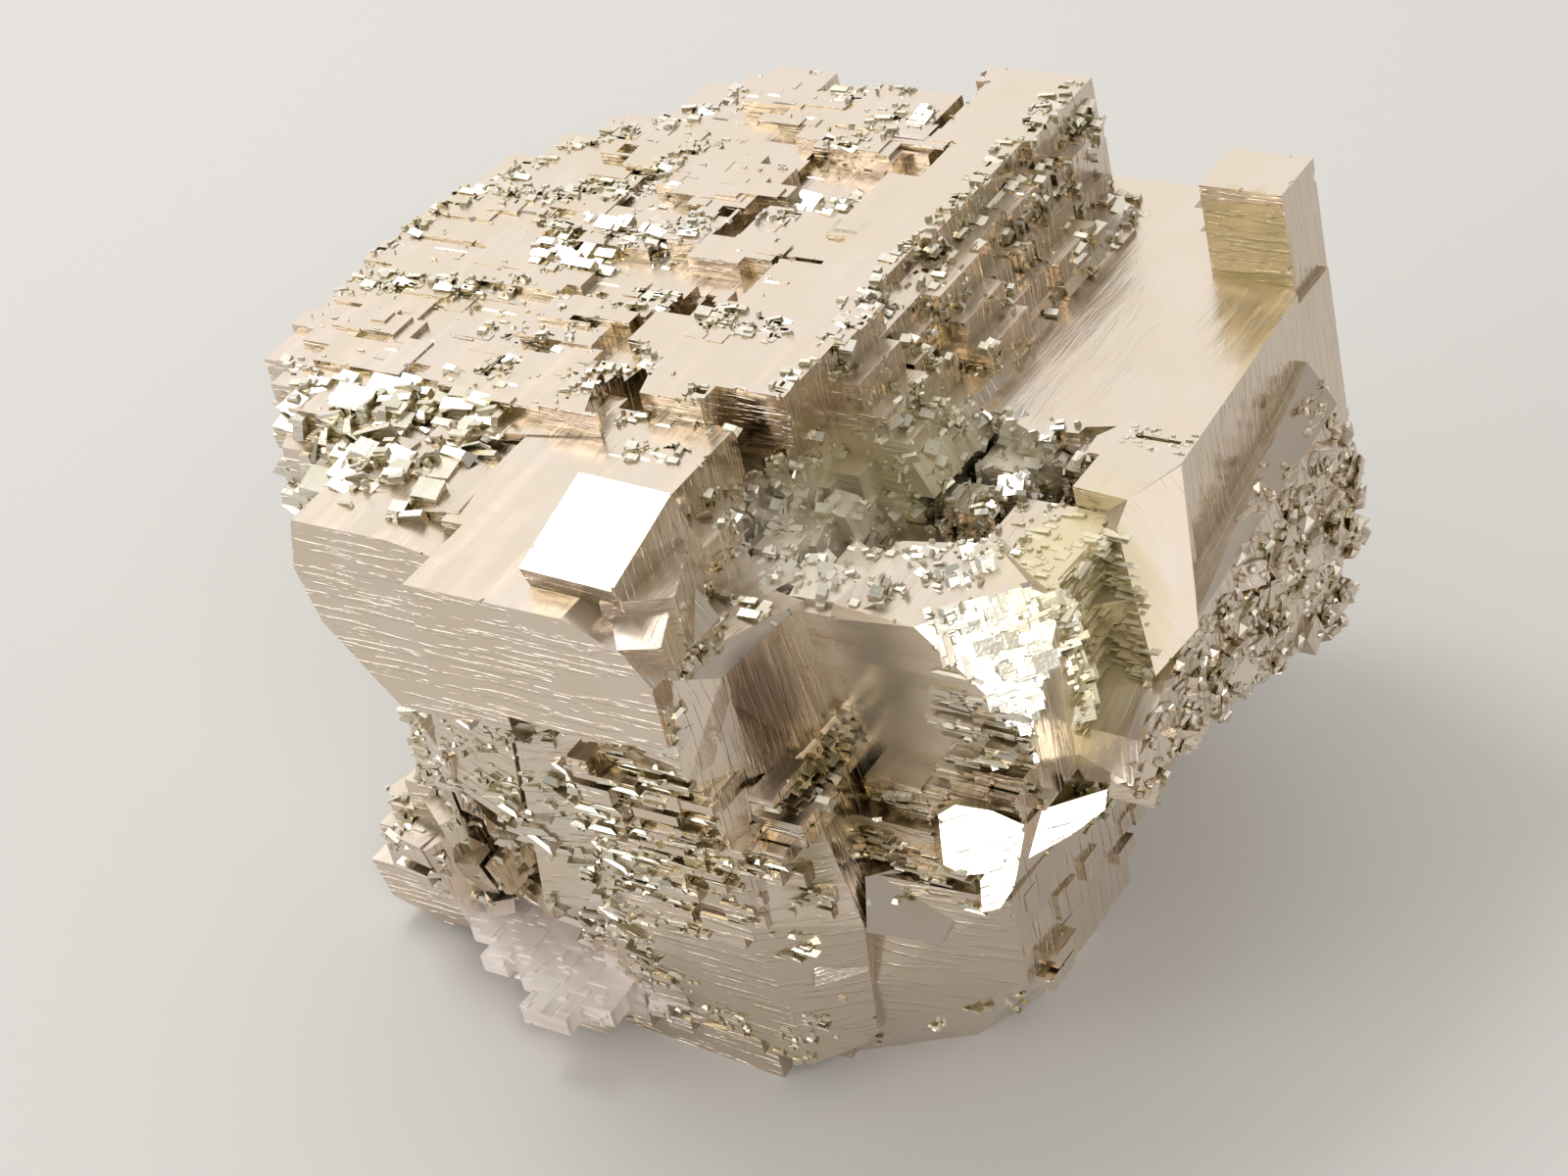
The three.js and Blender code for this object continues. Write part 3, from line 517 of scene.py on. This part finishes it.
# %% [markdown]
# ## Seams of the plateau
#
# On the plateau the crystals are not rough all over. They crowd along seams, where one broad crystal meets
# the next, and leave smooth patches between. The seams are a throwaway mesh of broken lines that the tree
# measures its distance from.

# %% Seams
SEAM_Z = 38.0
SEAMS = [  # corners [x, y] in millimetres
    [(-32.4, 4), (-29.5, 5.2), (-24.9, 6), (-20.8, 6.9)],
    [(-32, 9), (-31.4, 12.9), (-29, 17), (-27.2, 21.7), (-24, 25), (-21, 28), (-19, 31.7)],
    [(-21.2, 4), (-17.3, 2.7), (-13.7, 1.8)],
    [(-26.7, 15.9), (-22.9, 17.2), (-19.1, 18.5), (-18.1, 22.7)],
    [(-14.6, 6.5), (-11.1, 6.5), (-6.9, 6.6), (-3.3, 5.3), (-0.6, 5.2)],
    [(-8.9, -2.9), (-8.6, 0.7), (-6.2, 0.4), (-5.4, -2.7)],
    [(-13, 11.4), (-12, 15.3), (-7.4, 16.8), (-4.4, 21)],
    [(-30.4, -3.6), (-26, -4.8), (-19, -6.4)],
    [(-16.1, -0.8), (-14.6, -1.8)],
    [(-3.1, -5.3), (0.6, -4.9)],
    [(-1.5, -1.7), (3.6, -1.2)],
    [(-8, 24.8), (-4.6, 28.5)],
    [(-22.6, 14.1), (-18.8, 9.7), (-15, 13.5)],
    [(-10.6, 31), (-5.8, 32.4), (-3.9, 34)],
    [(3.2, 33), (3.2, 28.3), (3.4, 16), (2.8, 9), (4, 4), (3.4, 0)],
]


def broken_lines(name, lines, z):
    points, edges = [], []
    for line in lines:
        edges += [(k, k + 1) for k in range(len(points), len(points) + len(line) - 1)]
        points += [spot(x, y, z) for x, y in line]
    mesh = bpy.data.meshes.new(name)
    mesh.from_pydata(points, edges, [])
    lines_object = bpy.data.objects.new(name, mesh)
    bpy.context.scene.collection.objects.link(lines_object)
    return lines_object


plateau_seams = broken_lines("plateau seams", SEAMS, SEAM_Z)

# %% [markdown]
# ## The rough places
#
# Each line is one habit of growth in one place: what kind of crystal, how crowded, where, and how large.

# %% Layers
TOP, FRONT, SIDE, ANY = (0, 0, 1), (0, -1, 0), (1, 0, 0), (0, 0, 0)
CUT = (0.577, -0.577, 0.577)
FLAT_ON_CUT = (54.7, 0, 45)  # turns a plate so that it lies flat on a cut corner


def layer(title, how, per_mm2, low, high, facing, smallest, largest, seed, cosine=0.8, clump=(3, 3, 3),
          level=0.0, turn=(0, 0, 0), tilt=2.0, seams=None, reach=0.0, rounded=False, habit=FINE):
    """Adds one layer. All lengths are in millimetres, and low and high are in the crystals' own count."""
    work_over(title, TREES[how], {
        "Density": per_mm2 / MM ** 2, "Low corner": spot(*low), "High corner": spot(*high), "Facing": facing,
        "Least cosine": cosine if any(facing) else -1.0, "Clump size": [c * MM for c in clump],
        "Clump level": level, "Seams": seams, "Seam reach": reach * MM if seams else 1.0,
        "Smallest": [v * MM for v in smallest], "Largest": [v * MM for v in largest],
        "Turn": [math.radians(a) for a in turn], "Tilt": math.radians(tilt), "Rounded": rounded,
        "Seed": seed, "Habit": habit, "Finish": PYRITE})


layer("plateau plates", "grow", 0.16, (-28, -6, 36), (-2, 31, 39), TOP, (1.0, 0.6, 0.06), (4.0, 2.2, 0.25),
      1, clump=(6, 3, 3), level=0.42, tilt=0.8, habit=BROAD)
layer("plateau seams", "grow", 3.2, (-33, -8, 35.5), (5, 35, 39), TOP, (0.15, 0.15, 0.1), (1.2, 0.8, 0.6),
      2, cosine=0.5, clump=(1.6, 1.6, 1.6), level=0.42, tilt=14, seams=plateau_seams, reach=1.3)
layer("plateau pits", "pit", 1.3, (-33, -8, 35.5), (5, 35, 39), TOP, (0.2, 0.15, 0.2), (0.8, 0.5, 0.8), 3,
      cosine=0.5, clump=(1.6, 1.6, 1.6), level=0.46, tilt=12, seams=plateau_seams, reach=1.1, habit=SUNK)
layer("plateau specks", "grow", 0.8, (-33, -8, 36), (-2, 34, 39), TOP, (0.1, 0.1, 0.08), (0.6, 0.3, 0.35),
      4, clump=(5, 2, 3), level=0.54, tilt=8)
for k, (low, high) in enumerate([((-27, -5, 36), (-17.5, -2.2, 39)), ((-21.5, 9.5, 36), (-15, 15, 39)),
                                 ((-10, 16.8, 36), (-3, 20.6, 39)), ((-5, 25.8, 36), (-2.6, 29.4, 39))]):
    layer(f"bright ledge {k + 1}", "grow", 0.7, low, high, TOP, (0.6, 0.5, 0.3), (3.0, 1.6, 0.9), 30 + k,
          clump=(4, 4, 4), level=0.4, turn=(17, 0, -4), tilt=3)
layer("ridge wall", "grow", 1.8, (2.6, 4, 30), (8.2, 34, 38.4), ANY, (0.15, 0.15, 0.15), (1.0, 1.0, 0.8), 5,
      clump=(2.5, 2.5, 2.5), level=0.52, tilt=16)
layer("hollow floor", "grow", 2.6, (0.6, -7.4, 26), (16.5, 10.4, 35), ANY, (0.15, 0.15, 0.12),
      (0.95, 0.95, 0.8), 6, clump=(2.2, 2.2, 2.2), level=0.46, tilt=28)
layer("wing floor", "grow", 1.3, (-29, -14.5, 30), (-12.5, -4, 38), ANY, (0.3, 0.3, 0.25), (2.6, 2.0, 1.4),
      7, clump=(4, 4, 4), level=0.46, tilt=16)
layer("slope", "grow", 2.6, (0.4, -19.2, 28.6), (7.4, -8, 33.6), ANY, (0.2, 0.2, 0.15), (1.2, 1.0, 0.7), 8,
      clump=(2, 2, 2), level=0.5, tilt=8)
layer("combs", "grow", 3.9, (-2.5, -21, 12), (10.4, -12, 28.4), FRONT, (0.3, 0.2, 0.08), (2.0, 0.8, 0.3), 9,
      cosine=0.5, clump=(5, 5, 1.4), level=0.52, tilt=3)
layer("niche combs", "grow", 4.6, (11, -14, 15), (20, -8.3, 21.4), FRONT, (0.3, 0.2, 0.08), (2.0, 0.9, 0.3),
      10, cosine=0.7, clump=(5, 5, 1.2), level=0.52, tilt=3)
layer("column", "grow", 6.0, (15, -3.6, 15), (20.8, 6, 30.1), (0.8, -0.6, 0), (0.3, 0.3, 0.06),
      (1.3, 1.8, 0.26), 11, cosine=0.4, clump=(4, 4, 1), level=0.36, tilt=5)
layer("column head", "grow", 2.4, (14, -2.5, 29.6), (21, 6, 31), TOP, (0.2, 0.2, 0.08), (1.2, 0.8, 0.4), 20,
      clump=(2, 2, 2), level=0.5, tilt=6)
layer("cut corner", "grow", 5.5, (14, -9, 23), (21, -1.6, 31.4), CUT, (0.3, 0.3, 0.05), (1.8, 1.5, 0.3), 12,
      cosine=0.6, clump=(2.4, 2.4, 1.6), level=0.36, turn=FLAT_ON_CUT, tilt=5)
layer("steps beside it", "grow", 5.5, (15.2, -9.4, 21), (20.5, -7.9, 28.6), FRONT, (0.4, 0.2, 0.08),
      (2.4, 0.8, 0.4), 18, clump=(4, 4, 1), level=0.46, tilt=3)
layer("shoulder", "grow", 3.0, (8, -14.6, 18.6), (13.4, -7.8, 23.8), (0.63, 0, 0.77), (0.3, 0.3, 0.1),
      (1.8, 0.9, 0.5), 24, cosine=0.8, clump=(4, 4, 2), level=0.3, tilt=12)
layer("steps beside the facet", "grow", 4.5, (19, -1.5, 16), (23.4, 5, 30.6), (-0.43, -0.87, 0.24),
      (0.4, 0.3, 0.06), (2.0, 0.8, 0.26), 25, cosine=0.9, clump=(4, 4, 1), level=0.3, tilt=5)
layer("nick", "grow", 5.0, (17.8, 9.2, 30.6), (21.8, 11, 31.7), TOP, (0.2, 0.1, 0.05), (1.0, 0.4, 0.3), 26,
      tilt=5)
layer("flank bumps", "grow", 0.85, (22.6, -5.4, 12), (27, 26, 23.8), SIDE, (0.4, 0.6, 0.5), (1.2, 2.4, 1.4),
      13, cosine=0.3, level=0.3, tilt=24, rounded=True, habit=BROAD)
layer("far flank bumps", "grow", 0.9, (22.2, 9, 23.8), (27, 26, 30), SIDE, (0.4, 0.6, 0.5), (1.2, 2.4, 1.4),
      19, cosine=0.3, level=0.3, tilt=24, rounded=True, habit=BROAD)
layer("flank grit", "grow", 1.3, (22.6, -5.4, 12), (27, 26, 23.8), SIDE, (0.2, 0.3, 0.2), (0.7, 1.0, 0.6),
      14, cosine=0.3, clump=(2, 3, 2), level=0.52, tilt=24)
layer("corner block", "grow", 0.95, (-31, -16, 4.8), (-3, -4, 24), ANY, (0.2, 0.2, 0.12), (1.6, 0.8, 0.6),
      15, clump=(3, 3, 3), level=0.5, tilt=24)
layer("corner block face", "grow", 1.8, (-13, -18, 7), (-2.6, -11, 24.5), FRONT, (0.3, 0.2, 0.12),
      (2.2, 1.1, 0.7), 21, cosine=0.6, clump=(4, 4, 3), level=0.42, tilt=18)
layer("ledge", "grow", 1.0, (-22, -19, 3.6), (-6, -8, 5), TOP, (0.5, 0.4, 0.1), (2.4, 1.8, 0.35), 22,
      clump=(3, 3, 3), level=0.4, tilt=4)
layer("foot", "grow", 2.4, (-10, -17, 1.2), (20, -2, 8), FRONT, (0.2, 0.2, 0.15), (1.2, 0.5, 0.5), 16,
      cosine=0.3, clump=(3, 3, 2), level=0.56, tilt=10)
layer("back and left", "grow", 0.22, (-31, -8, 2), (24, 34, 34), (-0.6, 0.8, 0), (0.3, 0.3, 0.2),
      (1.6, 1.6, 1.2), 17, cosine=0.4, clump=(5, 5, 4), level=0.52, tilt=8)

# %% [markdown]
# ## From modifiers to a plain mesh
#
# The evaluated object is turned into a plain mesh once, the modifiers go, and so do the seam lines.

# %% Plain mesh
evaluated = specimen.evaluated_get(bpy.context.evaluated_depsgraph_get())
grown_mesh = bpy.data.meshes.new_from_object(evaluated)
specimen.modifiers.clear()
specimen.data = grown_mesh
bpy.data.objects.remove(plateau_seams)
grown_mesh.shade_flat()
grown_mesh.calc_loop_triangles()
print("dressed specimen:", len(grown_mesh.loop_triangles), "triangles")

# %% [markdown]
# ## Handing the piece over
#
# The specimen is a single piece. It rides on the part's only body and takes the place of its only solid.

# %% Hand over
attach(specimen, "root")
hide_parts("pyrite_cluster")
